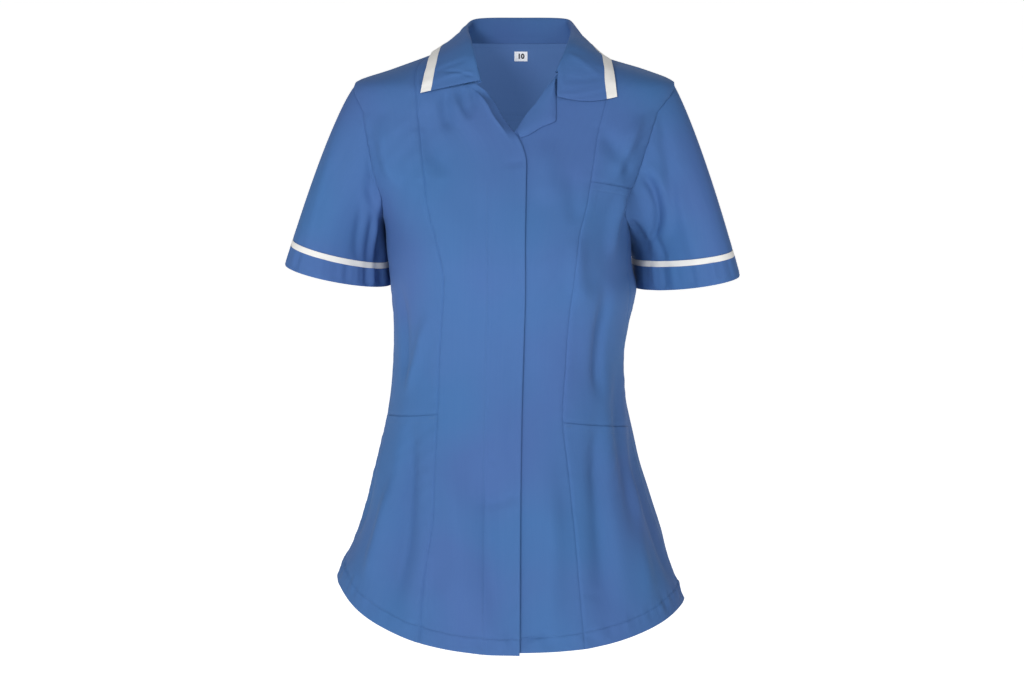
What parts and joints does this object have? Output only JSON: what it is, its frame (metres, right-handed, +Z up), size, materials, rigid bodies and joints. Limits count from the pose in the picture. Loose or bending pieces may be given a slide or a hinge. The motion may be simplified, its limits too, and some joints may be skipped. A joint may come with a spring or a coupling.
{
  "type": "revere collar tunic",
  "caption": "Short-sleeved healthcare tunic with a revere collar, princess seams, concealed front placket, in-seam pockets and contrast trim, filled out as worn.",
  "frame": {"origin": "midway between the two points where the shoulder seams meet the neck, which is where the wearer's shoulders carry the tunic", "axes": "+Z up along the body, -Y out of the front, +X towards the wearer's left"},
  "size_m": [0.5481, 0.2705, 0.7491],
  "materials": {
    "tunic_cloth": "mid blue poly-cotton twill, matt with a faint sheen",
    "trim_tape": "off-white woven tape, matt",
    "size_label": "white woven satin label with a plain dark number"
  },
  "bodies": {
    "root": {"centre_front_right": "tunic_cloth", "centre_front_left": "tunic_cloth", "revere_left": "tunic_cloth", "side_front_right": "tunic_cloth", "hip_pocket_right": "tunic_cloth", "side_front_left": "tunic_cloth", "breast_pocket_left": "tunic_cloth", "hip_pocket_left": "tunic_cloth", "back": "tunic_cloth", "back_yoke": "tunic_cloth", "sleeve_right": "tunic_cloth", "sleeve_trim_right": "trim_tape", "cuff_right": "tunic_cloth", "sleeve_left": "tunic_cloth", "sleeve_trim_left": "trim_tape", "cuff_left": "tunic_cloth", "collar": "tunic_cloth", "collar_trim": "trim_tape", "size_label": "size_label"}
  },
  "joints": []
}
